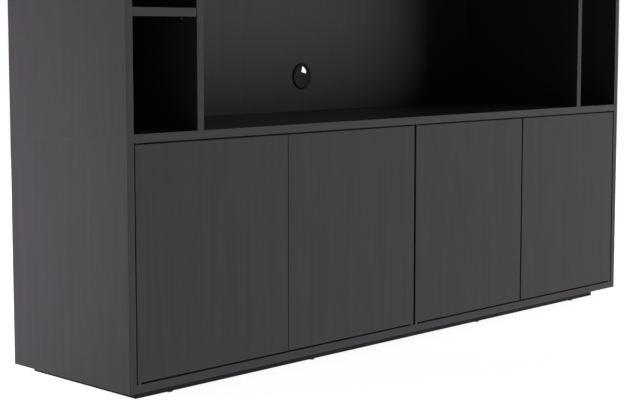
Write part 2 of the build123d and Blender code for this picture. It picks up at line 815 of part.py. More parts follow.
pieces = {
    "base_side_left": base_side(-1),
    "base_side_right": base_side(1),
    "base_bottom": base_bottom(),
    "base_top": base_top(),
    "base_divider": base_divider(),
    "base_back": base_back(),
    "base_shelf_left": base_shelf(-1),
    "base_shelf_right": base_shelf(1),
    "base_shelf_supports": supports(base_support_places),
    "base_dowels": base_dowels(),
    "plinth_front": plinth_rail(full_rail_span, front_rail_span),
    "plinth_back": plinth_rail(full_rail_span, back_rail_span),
    "plinth_left": plinth_rail((-side_rail_outer_x, -side_rail_inner_x), side_rail_span),
    "plinth_right": plinth_rail((side_rail_inner_x, side_rail_outer_x), side_rail_span),
    "plinth_cross": plinth_rail((-rail_half, rail_half), side_rail_span),
    "glides": glides(),
    "pivot_leaves_top": pivot_leaves(seam_z, -1),
    "pivot_leaves_bottom": pivot_leaves(bay_floor_z, 1),
    "pivot_washers": pivot_washers(),
    "pivot_screws": leaf_screws(),
    "latch_housings": latch_housings(),
    "upper_side_left": upper_side(-1),
    "upper_side_right": upper_side(1),
    "upper_bottom": upper_bottom(),
    "upper_divider_left": upper_divider(-1),
    "upper_divider_right": upper_divider(1),
    "niche_top": niche_top(),
    "top_partition_left": top_partition(-1),
    "top_partition_right": top_partition(1),
    "upper_top": upper_top(),
    "column_shelf_supports": supports(column_support_places),
    "column_back_left": column_back(-1),
    "column_back_right": column_back(1),
    "niche_back": niche_back(),
    "top_back": top_back(),
    "upper_dowels": upper_dowels(),
    "grommet_ring": grommet_ring(),
    "grommet_cap": grommet_cap(),
    "module_screws": module_screws(),
    "wall_brackets": wall_brackets(),
    "bracket_screws": bracket_screws(),
}
for number in doors:
    pieces[f"door_{number}"] = door(number)
    pieces[f"door_{number}_fittings"] = door_fittings(number)
    pieces[f"latch_plunger_{number}"] = latch_plunger(number)
for level, z in enumerate(column_levels, start=1):
    pieces[f"column_shelf_left_{level}"] = column_shelf(-1, z)
for z in right_levels:
    pieces["column_shelf_right"] = column_shelf(1, z)

os.makedirs("parts", exist_ok=True)
for name, piece in pieces.items():
    piece.label = name
    export_step(piece, f"parts/{name}.step")
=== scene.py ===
"""Finishes and small fittings for a television wall unit with four doors and an open upper part.

Every board and fitting gets its finish, the grommet, screws, latches and shelf supports are modelled in
full, and the unit stands in a pale studio.
Lengths are in metres. X runs to the right, Y from the front to the wall and Z up.
"""

import math

import bpy
from bpy.props import FloatProperty, FloatVectorProperty, IntProperty, PointerProperty
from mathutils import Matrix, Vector


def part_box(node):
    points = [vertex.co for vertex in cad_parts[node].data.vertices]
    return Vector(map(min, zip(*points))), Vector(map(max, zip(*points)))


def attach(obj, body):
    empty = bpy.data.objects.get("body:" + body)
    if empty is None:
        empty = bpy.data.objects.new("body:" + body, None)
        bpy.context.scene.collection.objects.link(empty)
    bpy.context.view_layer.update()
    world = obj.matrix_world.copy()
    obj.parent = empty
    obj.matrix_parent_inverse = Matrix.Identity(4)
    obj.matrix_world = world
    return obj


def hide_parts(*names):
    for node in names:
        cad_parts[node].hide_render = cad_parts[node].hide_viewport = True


bl_info = {
    "name": "Wall Unit Looks",
    "version": (1, 0, 0),
    "blender": (4, 5, 0),
    "location": "View3D > Sidebar > Wall Unit",
    "description": "Finishes, fittings and a studio for a television wall unit",
    "category": "Object",
}

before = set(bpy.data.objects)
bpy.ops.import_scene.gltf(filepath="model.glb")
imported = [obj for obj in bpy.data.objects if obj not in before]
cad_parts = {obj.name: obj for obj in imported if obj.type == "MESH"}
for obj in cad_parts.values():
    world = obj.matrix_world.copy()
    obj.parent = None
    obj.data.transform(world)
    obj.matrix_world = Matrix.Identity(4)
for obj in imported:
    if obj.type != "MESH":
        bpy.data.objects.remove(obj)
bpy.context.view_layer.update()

# The boards by the way that their grain runs
UPRIGHTS = (
    "base_side_left", "base_side_right", "base_divider", "upper_side_left", "upper_side_right",
    "upper_divider_left", "upper_divider_right", "top_partition_left", "top_partition_right",
)
LEVELS = (
    "base_bottom", "base_top", "base_shelf_left", "base_shelf_right", "upper_bottom", "niche_top",
    "upper_top", "column_shelf_left_1", "column_shelf_left_2", "column_shelf_left_3",
    "column_shelf_right",
)
DOORS = ("door_1", "door_2", "door_3", "door_4")
BACKS = ("base_back", "column_back_left", "column_back_right", "niche_back", "top_back")
PLINTH_LONG = ("plinth_front", "plinth_back")
PLINTH_SHORT = ("plinth_left", "plinth_right", "plinth_cross")

# How a pattern that runs along Z is turned to run along each axis
ALONG_X = (0, math.pi / 2, 0)
ALONG_Y = (math.pi / 2, 0, 0)
ALONG_Z = (0, 0, 0)

# How a shape that is turned about Z is laid down, by where its top then points
UP_TO_FRONT = (math.pi / 2, 0, 0)
UP_TO_REAR = (-math.pi / 2, 0, 0)
UP_TO_RIGHT = (0, math.pi / 2, 0)

# The patterns of the finishes: the width of their grains across Z and the length along it, in metres,
# then how much fine detail they have and how far they wander
GROWTH_RINGS = (0.16, 1.4, 1.0, 0.4)
STREAKS = (0.011, 0.35, 3.0, 0.0)
FIBRES = (0.0022, 0.09, 2.0, 0.0)
PORES = (0.0006, 0.014, 1.0, 0.0)
HAND_PATCHES = (0.22, 0.34, 3.0, 0.5)
HAND_SPECKS = (0.004, 0.004, 1.0, 0.0)
FLOW_MARKS = (0.012, 0.03, 2.0, 0.0)
METAL_BLOOM = (0.006, 0.006, 3.0, 0.0)
WORKING_LINES = (0.03, 0.0003, 1.0, 0.0)
FIBREBOARD_MOTTLE = (0.003, 0.003, 4.0, 0.0)
BEECH_FLECKS = (0.0005, 0.004, 2.0, 0.0)
BEECH_STREAKS = (0.0012, 0.03, 3.0, 0.0)

# How far the grain may be moved from board to board, and how fast the growth rings follow each other
BOARD_SPREAD = (7.3, 3.1, 5.7)
RING_RATE = 55.0

# How much each pattern counts: rings, streaks, fibres and pores in the foil's tone, fibres and pores in
# its height, then the broader and the finer pattern of the other finishes
FOIL_TONE_SHARES = (0.10, 1.3, 0.8, -0.5)
FOIL_HEIGHT_SHARES = (0.35, -1.0)
HANDLING_SHARES = (0.7, 0.3)
MOULDED_SHARES = (0.6, 0.4)
METAL_SHARES = (0.7, 0.3)

# The middle of a noise or a tone, and the range that most of a noise keeps to
MIDDLE = 0.5
NOISE_RANGE = (0.3, 0.7)

# Where a noise starts to be a pore or a fleck, and where it is wholly one
PORE_RANGE = (0.60, 0.70)
FLECK_RANGE = (0.58, 0.68)

# How alike the rounded and the flat normal are where an edge starts, and where it is at its strongest
EDGE_RANGE = (0.9995, 0.94)
EDGE_SAMPLES = 4

# How far a face has to turn to the wall to be a back panel's rear
REAR_RANGE = (0.5, 0.6)

# The darkest and the lightest shade of each finish, as gains on its colour
FOIL_SHADES = (0.72, 1.28)
FIBREBOARD_SHADES = (0.86, 1.14)
MOULDED_SHADES = (0.85, 1.15)
METAL_SHADES = (0.78, 1.1)
BEECH_SHADES = (0.82, 1.12)
FLECK_SHADE = 0.55

# How much an edge is lightened, and the gain on its colour there: on the foil partly wear and partly a
# painted highlight along the rounded edges, on the fittings wear
FOIL_EDGE_WEAR_AND_HIGHLIGHT = (0.9, 1.7)
MOULDED_WEAR = (0.4, 1.6)
METAL_WEAR = (0.5, 1.2)

# How far the worn edges reach, and how deep the textures are
MOULDED_EDGE = 0.0005
MOULDED_DEPTH = 0.00006
METAL_EDGE = 0.0004
METAL_DEPTH = 0.00002
FLECK_DEPTH = 0.00005

# The size of the moulded texture's grain
FITTING_GRAIN = 0.0006
GROMMET_GRAIN = 0.0009

# How much the surfaces mirror, and how rough the plastics and the floor are
FOIL_GLOSS = 0.004
FITTING_GLOSS = 0.3
GROMMET_GLOSS = 0.035
BEECH_GLOSS = 0.3
MOULDED_ROUGHNESS = 0.5
FLOOR_ROUGHNESS = 0.9

# The lowest and the highest roughness of the metals and of the beech
METAL_ROUGHNESS = (0.30, 0.46)
BEECH_ROUGHNESS = (0.55, 0.75)

# How far handling changes the roughness
FOIL_HANDLING = 0.10
MOULDED_HANDLING = 0.12

# A face is square to an axis if its normal has at least this share along it
SQUARE_SHARE = 0.99
SHARP_ANGLE = math.radians(28)
SMOOTH_ANGLE = math.radians(30)
MERGE_DISTANCE = 0.000005
END_TOLERANCE = 0.0001

# A round screw head from its top to its seat, as shares of the head's radius and height
ROUND_HEAD_SHARES = ((0.55, 1.0), (0.85, 0.84), (1.0, 0.45), (1.0, 0.0))
SUNK_RIM_SHARE = 0.1
POINT_TIP_SHARE = 1 / 3
# How far each screw is turned from the one before, in radians
SCREW_TURN = 0.7

# How many faces go round a bore and a peg, and across each rounded edge or corner
BORE_STEPS = 48
PEG_STEPS = 24
SOFT_EDGE_STEPS = 2
LATCH_EDGE_STEPS = 3
NOTCH_CORNER_STEPS = 5
REST_CORNER_STEPS = 6

FLOOR_SIZE = 60
WHITE = (1, 1, 1, 1)

# Each lamp: where it hangs, the point that it faces, its width and its height
KEY_LAMP = ((7.44, -6.13, -0.9), (0, 0, 0.3), (9.0, 7.4))
SIDE_LAMP = ((-2.7, 0.9, 0.25), (-1.0, 0.0, 0.6), (1.0, 0.8))
REAR_LAMP = ((2.2, 5.5, 2.2), (0, 0, 1.0), (4.0, 2.6))
TOP_LAMP = ((0.0, 1.4, 5.0), (0, 0, 1.0), (3.0, 2.0))


def linear(red, green, blue):
    """A colour given as it looks on a screen, from 0 to 255, as the linear colour of a shader."""
    shares = [value / 255 for value in (red, green, blue)]
    return tuple(s / 12.92 if s <= 0.04045 else ((s + 0.055) / 1.055) ** 2.4 for s in shares)


def with_alpha(colour, gain=1.0):
    """A linear colour with its alpha, lightened or darkened by a gain."""
    return (*[value * gain for value in colour], 1.0)


def colour_property(name, description, default):
    """A property that holds a linear colour."""
    return FloatVectorProperty(
        name=name, description=description, subtype="COLOR", default=default, min=0, max=1
    )


def length_property(name, description, default):
    """A property that holds a length in metres."""
    return FloatProperty(
        name=name, description=description, default=default, unit="LENGTH", min=0, precision=5
    )


def amount_property(name, description, default):
    """A property that holds a plain number from zero up."""
    return FloatProperty(name=name, description=description, default=default, min=0)


def share_property(name, description, default):
    """A property that holds a share of something, from 0 to 1."""
    return FloatProperty(name=name, description=description, default=default, min=0, max=1)


def angle_property(name, description, degrees):
    """A property that holds an angle, given in degrees."""
    turn = math.radians(degrees)
    return FloatProperty(name=name, description=description, default=turn, unit="ROTATION")


def power_property(name, description, default):
    """A property that holds a lamp's power."""
    return FloatProperty(name=name, description=description, default=default, unit="POWER", min=0)


class BoardFinish(bpy.types.PropertyGroup):
    """The grained black foil on the boards and doors."""

    board_colour: colour_property("Boards", "Colour of the carcass boards", linear(79, 76, 80))
    door_colour: colour_property("Doors", "Colour of the door fronts", linear(77, 74, 78))
    back_colour: colour_property("Backs", "Colour of the back panels inside", linear(77, 74, 78))
    rear_colour: colour_property("Rear", "Colour of the back panels towards the wall", linear(64, 62, 61))
    # The plinth's foil is painted much darker than the boards': painted shade of its recess under the
    # bottom board
    plinth_painted_shade_colour: colour_property("Plinth", "Colour of the recessed plinth", linear(44, 43, 45))
    roughness: amount_property("Roughness", "Roughness of the foil on upright faces", 0.52)
    level_roughness: amount_property("Level Roughness", "Roughness of the foil on level boards", 0.16)
    figure: amount_property("Figure", "Contrast of the grain", 0.24)
    pore_depth: length_property("Pore Depth", "Depth of the embossed pores", 0.00012)
    edge_radius: length_property("Edge Radius", "How far a softened edge reaches", 0.0016)


class FittingFinish(bpy.types.PropertyGroup):
    """The plastics and metals of the fittings."""

    plastic_colour: colour_property("Plastic", "Colour of the moulded fittings", linear(30, 30, 32))
    grommet_colour: colour_property("Grommet", "Colour of the cable grommet", linear(33, 31, 34))
    brass_colour: colour_property("Brass", "Colour of the pivot bushes", linear(222, 184, 112))
    steel_colour: colour_property("Steel", "Colour of the zinc-plated steel", linear(196, 198, 202))
    black_zinc_colour: colour_property("Black Zinc", "Colour of the black-plated steel", linear(36, 36, 38))
    beech_colour: colour_property("Beech", "Colour of the dowels", linear(206, 172, 128))


class GrommetSizes(bpy.types.PropertyGroup):
    """The ring and cap that the cables pass through."""

    steps: IntProperty(name="Steps", description="Faces round the grommet", default=96, min=12)
    rim: length_property("Rim", "Thickness of the flange at its edge", 0.0008)
    face_radius: length_property("Face Radius", "Radius where the flange starts to slope", 0.0345)
    bore_radius: length_property("Bore Radius", "Radius of the hole for the cap", 0.0315)
    sleeve_radius: length_property("Sleeve Radius", "Radius of the sleeve in the panel", 0.0335)
    ledge_radius: length_property("Ledge Radius", "Inner radius of the ledge under the cap", 0.0295)
    ledge_thickness: length_property("Ledge Thickness", "Thickness of the ledge", 0.002)
    ledge_gap: length_property("Ledge Gap", "Play between the cap and the ledge", 0.0003)
    lip_width: length_property("Lip Width", "Width of the raised edge round the cap", 0.0016)
    lip_height: length_property("Lip Height", "Height of the raised edge round the cap", 0.0005)
    notch_width: length_property("Notch Width", "Width of the notch in the cap", 0.021)
    notch_foot: length_property("Notch Foot", "Distance from the centre to the notch", 0.0115)
    notch_offset: length_property("Notch Offset", "How far the notch stands to the right", 0.0034)
    notch_corner: length_property("Notch Corner", "Rounding of the notch's inner corners", 0.002)
    notch_turn: angle_property("Notch Turn", "Turn of the notch to the right of straight up", 15)
    edge: length_property("Edge", "Rounding of the ring's and the cap's edges", 0.00035)


class ScrewSizes(bpy.types.PropertyGroup):
    """The screws with a cross recess."""

    steps: IntProperty(name="Steps", description="Faces round a screw", default=24, min=8)
    recess_share: share_property("Recess Share", "Width of the cross recess as a share of the head", 0.6)
    recess_slot: length_property("Recess Slot", "Width of each slot of the cross recess", 0.0009)
    recess_depth: length_property("Recess Depth", "Depth of the cross recess", 0.0011)
    point_share: share_property("Point Share", "Length of the point as a share of the shank", 0.16)
    leaf_shank: length_property("Leaf Screw Shank", "Radius of a leaf screw's shank", 0.0015)
    leaf_head: length_property("Leaf Screw Head", "Height of a leaf screw's countersunk head", 0.002)
    module_shank: length_property("Module Screw Shank", "Radius of a module screw's shank", 0.0025)
    module_head: length_property("Module Screw Head", "Height of a module screw's head", 0.003)
    bracket_shank: length_property("Bracket Screw Shank", "Radius of a bracket screw's shank", 0.002)
    bracket_head: length_property("Bracket Screw Head", "Height of a bracket screw's head", 0.002)


class MouldingSizes(bpy.types.PropertyGroup):
    """The latch housings and the shelf supports."""

    bore_radius: length_property("Bore", "Radius of a latch's bore", 0.00405)
    bore_depth: length_property("Bore Depth", "Depth of a latch's bore", 0.072)
    bore_mouth: length_property("Bore Mouth", "Width of the slope at the bore's mouth", 0.0006)
    long_edge: length_property("Long Edge", "Rounding of a latch's lower edges", 0.001)
    panel_border: length_property("Panel Border", "Border round a latch's sunk sides", 0.0022)
    panel_depth: length_property("Panel Depth", "Depth of a latch's sunk sides", 0.0007)
    nose_border: length_property("Nose Border", "Border round a latch's sunk front", 0.0012)
    nose_depth: length_property("Nose Depth", "Depth of a latch's sunk front", 0.0004)
    rest_length: length_property("Rest Length", "Length of a shelf support's rest", 0.008)
    rest_corner: length_property("Rest Corner", "Rounding of a rest's free corners", 0.003)
    peg_radius: length_property("Peg Radius", "Radius of a shelf support's peg", 0.0025)
    peg_slope: length_property("Peg Slope", "Slope at the end of a peg", 0.0006)
    edge: length_property("Edge", "Rounding of the small edges", 0.0003)


class StudioSettings(bpy.types.PropertyGroup):
    """The floor, the lamps and the camera."""

    floor_colour: colour_property("Floor", "Colour of the floor", (0.8, 0.8, 0.8))
    floor_glow: amount_property("Floor Glow", "White that the floor shows besides its lit colour", 0.93)
    glow_start: length_property("Glow Start", "Distance from the unit where the floor whitens", 1.6)
    glow_end: length_property("Glow End", "Distance from the unit where the floor is all white", 5.0)
    ambient: amount_property("Ambient", "Strength of the studio's even light", 0.018)
    key_power: power_property("Key", "Power of the lamp at the front right", 1250)
    side_power: power_property("Side", "Power of the lamp at the left", 40.5)
    rear_power: power_property("Rear", "Power of the lamp behind", 150)
    top_power: power_property("Top", "Power of the lamp above", 60)
    camera_place: FloatVectorProperty(
        name="Camera", description="Where the camera stands", subtype="TRANSLATION",
        default=(-3.0201, -2.7935, 0.8509),
    )
    camera_turn: angle_property("Turn", "Turn of the camera towards the right", 45.687)
    camera_drop: angle_property("Drop", "Tilt of the camera towards the floor", 5.549)
    camera_lens: FloatProperty(
        name="Lens", description="Focal length in millimetres", default=82.531, min=1
    )
    camera_shift: FloatProperty(name="Shift", description="Vertical shift of the lens", default=-0.04)


def feed(tree, sockets, inputs):
    """Gives each input its value, or the output socket that feeds it."""
    for key, value in inputs.items():
        if isinstance(value, bpy.types.NodeSocket):
            tree.links.new(value, sockets[key])
        else:
            sockets[key].default_value = value


def add_node(tree, kind, inputs=None, **settings):
    """A new shader node with its settings and inputs."""
    made = tree.nodes.new(kind)
    for name, value in settings.items():
        setattr(made, name, value)
    feed(tree, made.inputs, inputs or {})
    return made


def sum_of(tree, *terms, operation="ADD", clamp=False):
    """Numbers or sockets put together by one arithmetic operation, from left to right."""
    total = terms[0]
    for term in terms[1:]:
        node = add_node(tree, "ShaderNodeMath", {0: total, 1: term}, operation=operation, use_clamp=clamp)
        total = node.outputs[0]
    return total


def product_of(tree, *terms):
    """Numbers or sockets multiplied."""
    return sum_of(tree, *terms, operation="MULTIPLY")


def weighted(tree, values, shares):
    """Each value times its share."""
    return [product_of(tree, value, share) for value, share in zip(values, shares)]


def ranged(tree, value, before, after=(0.0, 1.0)):
    """A value taken from one range to another, held at the ends."""
    low, high = before
    to_low, to_high = after
    inputs = {"Value": value, "From Min": low, "From Max": high, "To Min": to_low, "To Max": to_high}
    return add_node(tree, "ShaderNodeMapRange", inputs).outputs["Result"]


def vector_math(tree, operation, inputs):
    """A vector operation's node."""
    return add_node(tree, "ShaderNodeVectorMath", inputs, operation=operation)


def mixed_colour(tree, factor, first, second):
    """Two colours mixed by a factor."""
    mix = add_node(tree, "ShaderNodeMix", data_type="RGBA")
    sockets = {socket.identifier: socket for socket in (*mix.inputs, *mix.outputs)}
    feed(tree, sockets, {"Factor_Float": factor, "A_Color": first, "B_Color": second})
    return sockets["Result_Color"]


def stretched_noise(tree, vector, pattern):
    """Noise whose grains have a width across Z and a length along it."""
    across, along, detail, distortion = pattern
    scale = (1 / across, 1 / across, 1 / along)
    place = add_node(tree, "ShaderNodeMapping", {"Vector": vector, "Scale": scale}).outputs[0]
    inputs = {"Vector": place, "Scale": 1.0, "Detail": detail, "Distortion": distortion}
    return add_node(tree, "ShaderNodeTexNoise", inputs).outputs["Fac"]


def new_group(name, inputs, outputs):
    """A shader node group with its named sockets: the tree, and its input and output nodes."""
    tree = bpy.data.node_groups.new(name, "ShaderNodeTree")
    for socket, kind in inputs.items():
        tree.interface.new_socket(name=socket, in_out="INPUT", socket_type=kind)
    for socket, kind in outputs.items():
        tree.interface.new_socket(name=socket, in_out="OUTPUT", socket_type=kind)
    return tree, tree.nodes.new("NodeGroupInput"), tree.nodes.new("NodeGroupOutput")


VALUE, VECTOR = "NodeSocketFloat", "NodeSocketVector"


def make_grain_group():
    """Growth rings, streaks and open pores that run along Z and differ from board to board."""
    inputs = {"Vector": VECTOR, "Board": VALUE, "Figure": VALUE}
    tree, source, sink = new_group("Wood Grain", inputs, {"Tone": VALUE, "Height": VALUE})
    spread = vector_math(tree, "SCALE", {0: BOARD_SPREAD, "Scale": source.outputs["Board"]}).outputs[0]
    place = vector_math(tree, "ADD", {0: source.outputs["Vector"], 1: spread}).outputs[0]
    growth = stretched_noise(tree, place, GROWTH_RINGS)
    rings = sum_of(tree, product_of(tree, growth, RING_RATE), 0.0, operation="SINE")
    streaks = stretched_noise(tree, place, STREAKS)
    fibres = stretched_noise(tree, place, FIBRES)
    pores = ranged(tree, stretched_noise(tree, place, PORES), PORE_RANGE)
    centred = (rings, sum_of(tree, streaks, -MIDDLE), sum_of(tree, fibres, -MIDDLE), pores)
    marks = sum_of(tree, *weighted(tree, centred, FOIL_TONE_SHARES))
    tone = sum_of(tree, product_of(tree, marks, source.outputs["Figure"]), MIDDLE, clamp=True)
    height = sum_of(tree, *weighted(tree, (fibres, pores), FOIL_HEIGHT_SHARES))
    feed(tree, sink.inputs, {"Tone": tone, "Height": height})
    return tree


def make_edge_group():
    """Where an edge is within a radius, and the normal that rounds it."""
    tree, source, sink = new_group("Soft Edge", {"Radius": VALUE}, {"Edge": VALUE, "Normal": VECTOR})
    radius = source.outputs["Radius"]
    bevel = add_node(tree, "ShaderNodeBevel", {"Radius": radius}, samples=EDGE_SAMPLES)
    flat = add_node(tree, "ShaderNodeNewGeometry").outputs["Normal"]
    alike = vector_math(tree, "DOT_PRODUCT", {0: bevel.outputs["Normal"], 1: flat}).outputs["Value"]
    feed(tree, sink.inputs, {"Edge": ranged(tree, alike, EDGE_RANGE), "Normal": bevel.outputs["Normal"]})
    return tree


def make_handling_group():
    """Broad, faint patches that a hand or a cloth leaves, as roughness about a middle value."""
    inputs = {"Vector": VECTOR, "Roughness": VALUE, "Spread": VALUE}
    tree, source, sink = new_group("Handling", inputs, {"Roughness": VALUE})
    patches = stretched_noise(tree, source.outputs["Vector"], HAND_PATCHES)
    specks = stretched_noise(tree, source.outputs["Vector"], HAND_SPECKS)
    centred = sum_of(tree, *weighted(tree, (patches, specks), HANDLING_SHARES), -MIDDLE)
    rough = sum_of(tree, source.outputs["Roughness"], product_of(tree, centred, source.outputs["Spread"]))
    feed(tree, sink.inputs, {"Roughness": rough})
    return tree


def make_moulded_group():
    """The fine spark-eroded texture of a moulding, with its faint flow marks."""
    inputs = {"Vector": VECTOR, "Grain Size": VALUE}
    tree, source, sink = new_group("Moulded Texture", inputs, {"Tone": VALUE, "Height": VALUE})
    scale = sum_of(tree, 1.0, source.outputs["Grain Size"], operation="DIVIDE")
    place = {"Vector": source.outputs["Vector"], "Scale": scale}
    cells = add_node(tree, "ShaderNodeTexVoronoi", place).outputs["Distance"]
    fine = add_node(tree, "ShaderNodeTexNoise", {**place, "Detail": 2.0}).outputs["Fac"]
    flow = stretched_noise(tree, source.outputs["Vector"], FLOW_MARKS)
    tone = sum_of(tree, *weighted(tree, (flow, fine), MOULDED_SHARES), clamp=True)
    height = sum_of(tree, *weighted(tree, (cells, fine), MOULDED_SHARES))
    feed(tree, sink.inputs, {"Tone": tone, "Height": height})
    return tree


def make_metal_group():
    """The cloudy bloom and fine working lines of a plated or turned metal."""
    outputs = {"Tone": VALUE, "Roughness": VALUE, "Height": VALUE}
    tree, source, sink = new_group("Worked Metal", {"Vector": VECTOR}, outputs)
    bloom = stretched_noise(tree, source.outputs["Vector"], METAL_BLOOM)
    lines = stretched_noise(tree, source.outputs["Vector"], WORKING_LINES)
    tone = sum_of(tree, *weighted(tree, (bloom, lines), METAL_SHARES), clamp=True)
    rough = ranged(tree, bloom, NOISE_RANGE, METAL_ROUGHNESS)
    feed(tree, sink.inputs, {"Tone": tone, "Roughness": rough, "Height": lines})
    return tree


GROUP_MAKERS = {
    "Wood Grain": make_grain_group,
    "Soft Edge": make_edge_group,
    "Handling": make_handling_group,
    "Moulded Texture": make_moulded_group,
    "Worked Metal": make_metal_group,
}


def use_group(tree, name, inputs):
    """A node group placed in a material's tree with its own values, made when it is first used."""
    group = bpy.data.node_groups.get(name) or GROUP_MAKERS[name]()
    return add_node(tree, "ShaderNodeGroup", inputs, node_tree=group).outputs


def new_material(name):
    """A material with one Principled shader: the material, its tree, the shader and its coordinates."""
    material = bpy.data.materials.new(name)
    material.use_nodes = True
    tree = material.node_tree
    return material, tree, tree.nodes["Principled BSDF"], add_node(tree, "ShaderNodeTexCoord")


def bumped(tree, height, distance, normal=None):
    """The normal that a height makes."""
    inputs = {"Height": height, "Distance": distance, "Strength": 1.0}
    if normal is not None:
        inputs["Normal"] = normal
    return add_node(tree, "ShaderNodeBump", inputs).outputs["Normal"]


def shaded(tree, tone, colour, shades):
    """A colour that runs from its darkest to its lightest shade with a tone."""
    darkest, lightest = shades
    return mixed_colour(tree, tone, with_alpha(colour, darkest), with_alpha(colour, lightest))


def edges_worn_and_highlit(tree, edge, face, colour, edge_lightening):
    """A face's colour that turns lighter along the edges: rubbed edges, and on the foil also a painted
    highlight.
    """
    amount, gain = edge_lightening
    return mixed_colour(tree, product_of(tree, edge["Edge"], amount), face, with_alpha(colour, gain))


def make_board_material(name, colour, turn, roughness, finish, rear_colour=None):
    """Black foil with its grain along an axis. A back panel's rear is plain painted fibreboard."""
    material, tree, shader, coordinates = new_material(name)
    place = coordinates.outputs["Object"]
    along = add_node(tree, "ShaderNodeMapping", {"Vector": place, "Rotation": turn}).outputs[0]
    board = add_node(tree, "ShaderNodeObjectInfo").outputs["Random"]
    grain = use_group(tree, "Wood Grain", {"Vector": along, "Board": board, "Figure": finish.figure})
    edge = use_group(tree, "Soft Edge", {"Radius": finish.edge_radius})
    handled = {"Vector": place, "Roughness": roughness, "Spread": FOIL_HANDLING}
    face = shaded(tree, grain["Tone"], colour, FOIL_SHADES)
    if rear_colour is not None:
        facing = add_node(tree, "ShaderNodeSeparateXYZ", {0: coordinates.outputs["Normal"]}).outputs["Y"]
        mottle = stretched_noise(tree, place, FIBREBOARD_MOTTLE)
        rear = shaded(tree, mottle, rear_colour, FIBREBOARD_SHADES)
        face = mixed_colour(tree, ranged(tree, facing, REAR_RANGE), face, rear)
    feed(tree, shader.inputs, {
        # The foil's edges are painted lighter: partly wear, partly a painted highlight where the rounded
        # edges catch the light
        "Base Color": edges_worn_and_highlit(tree, edge, face, colour, FOIL_EDGE_WEAR_AND_HIGHLIGHT),
        "Roughness": use_group(tree, "Handling", handled)["Roughness"],
        "Specular IOR Level": FOIL_GLOSS,
        "Normal": bumped(tree, grain["Height"], finish.pore_depth, edge["Normal"]),
    })
    return material


def make_moulded_material(name, colour, grain_size, gloss):
    """Black moulded plastic with a fine texture."""
    material, tree, shader, coordinates = new_material(name)
    place = coordinates.outputs["Object"]
    texture = use_group(tree, "Moulded Texture", {"Vector": place, "Grain Size": grain_size})
    edge = use_group(tree, "Soft Edge", {"Radius": MOULDED_EDGE})
    handled = {"Vector": place, "Roughness": MOULDED_ROUGHNESS, "Spread": MOULDED_HANDLING}
    face = shaded(tree, texture["Tone"], colour, MOULDED_SHADES)
    feed(tree, shader.inputs, {
        "Base Color": edges_worn_and_highlit(tree, edge, face, colour, MOULDED_WEAR),
        "Roughness": use_group(tree, "Handling", handled)["Roughness"],
        "Specular IOR Level": gloss,
        "Normal": bumped(tree, texture["Height"], MOULDED_DEPTH, edge["Normal"]),
    })
    return material


def make_metal_material(name, colour):
    """Plated or turned metal with a cloudy bloom."""
    material, tree, shader, coordinates = new_material(name)
    texture = use_group(tree, "Worked Metal", {"Vector": coordinates.outputs["Object"]})
    edge = use_group(tree, "Soft Edge", {"Radius": METAL_EDGE})
    face = shaded(tree, texture["Tone"], colour, METAL_SHADES)
    feed(tree, shader.inputs, {
        "Base Color": edges_worn_and_highlit(tree, edge, face, colour, METAL_WEAR),
        "Metallic": 1.0,
        "Roughness": texture["Roughness"],
        "Normal": bumped(tree, texture["Height"], METAL_DEPTH, edge["Normal"]),
    })
    return material


def make_beech_material(name, colour, turn):
    """Raw beech with short dark flecks along the grain."""
    material, tree, shader, coordinates = new_material(name)
    place = coordinates.outputs["Object"]
    along = add_node(tree, "ShaderNodeMapping", {"Vector": place, "Rotation": turn}).outputs[0]
    flecks = ranged(tree, stretched_noise(tree, along, BEECH_FLECKS), FLECK_RANGE)
    streaks = stretched_noise(tree, along, BEECH_STREAKS)
    face = shaded(tree, streaks, colour, BEECH_SHADES)
    feed(tree, shader.inputs, {
        "Base Color": mixed_colour(tree, flecks, face, with_alpha(colour, FLECK_SHADE)),
        "Roughness": ranged(tree, streaks, NOISE_RANGE, BEECH_ROUGHNESS),
        "Specular IOR Level": BEECH_GLOSS,
        "Normal": bumped(tree, flecks, -FLECK_DEPTH),
    })
    return material


def dress(nodes, material):
    """Gives CAD nodes a material in place of their plain one."""
    for name in nodes:
        mesh_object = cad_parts[name]
        if mesh_object.material_slots:
            for slot in mesh_object.material_slots:
                slot.material = material
        else:
            mesh_object.data.materials.append(material)


def deselect_all():
    """Leaves edit mode and selects nothing."""
    if bpy.context.object is not None and bpy.context.object.mode != "OBJECT":
        bpy.ops.object.mode_set(mode="OBJECT")
    bpy.ops.object.select_all(action="DESELECT")


def choose(piece):
    """Makes a piece the only one selected, and active."""
    deselect_all()
    piece.select_set(True)
    bpy.context.view_layer.objects.active = piece


def edit_faces(piece, wanted):
    """Enters edit mode with only the faces selected whose middle and normal pass a test."""
    choose(piece)
    bpy.context.tool_settings.mesh_select_mode = (False, False, True)
    bpy.ops.object.mode_set(mode="EDIT")
    bpy.ops.mesh.select_all(action="DESELECT")
    bpy.ops.object.mode_set(mode="OBJECT")
    for face in piece.data.polygons:
        face.select = wanted(face.center, face.normal)
    bpy.ops.object.mode_set(mode="EDIT")


def edit_edges(piece, wanted):
    """Enters edit mode with only the edges selected whose two ends pass a test."""
    choose(piece)
    bpy.context.tool_settings.mesh_select_mode = (False, True, False)
    bpy.ops.object.mode_set(mode="EDIT")
    bpy.ops.mesh.select_all(action="DESELECT")
    bpy.ops.object.mode_set(mode="OBJECT")
    for edge in piece.data.edges:
        edge.select = wanted(*[piece.data.vertices[index].co for index in edge.vertices])
    bpy.ops.object.mode_set(mode="EDIT")


def leave_edit():
    """Goes back to object mode."""
    bpy.ops.object.mode_set(mode="OBJECT")


def settle(piece, place=(0, 0, 0), turn=(0, 0, 0)):
    """Moves and turns a piece, and takes its place into its mesh."""
    choose(piece)
    piece.location = place
    piece.rotation_euler = turn
    bpy.ops.object.transform_apply(location=True, rotation=True, scale=True)


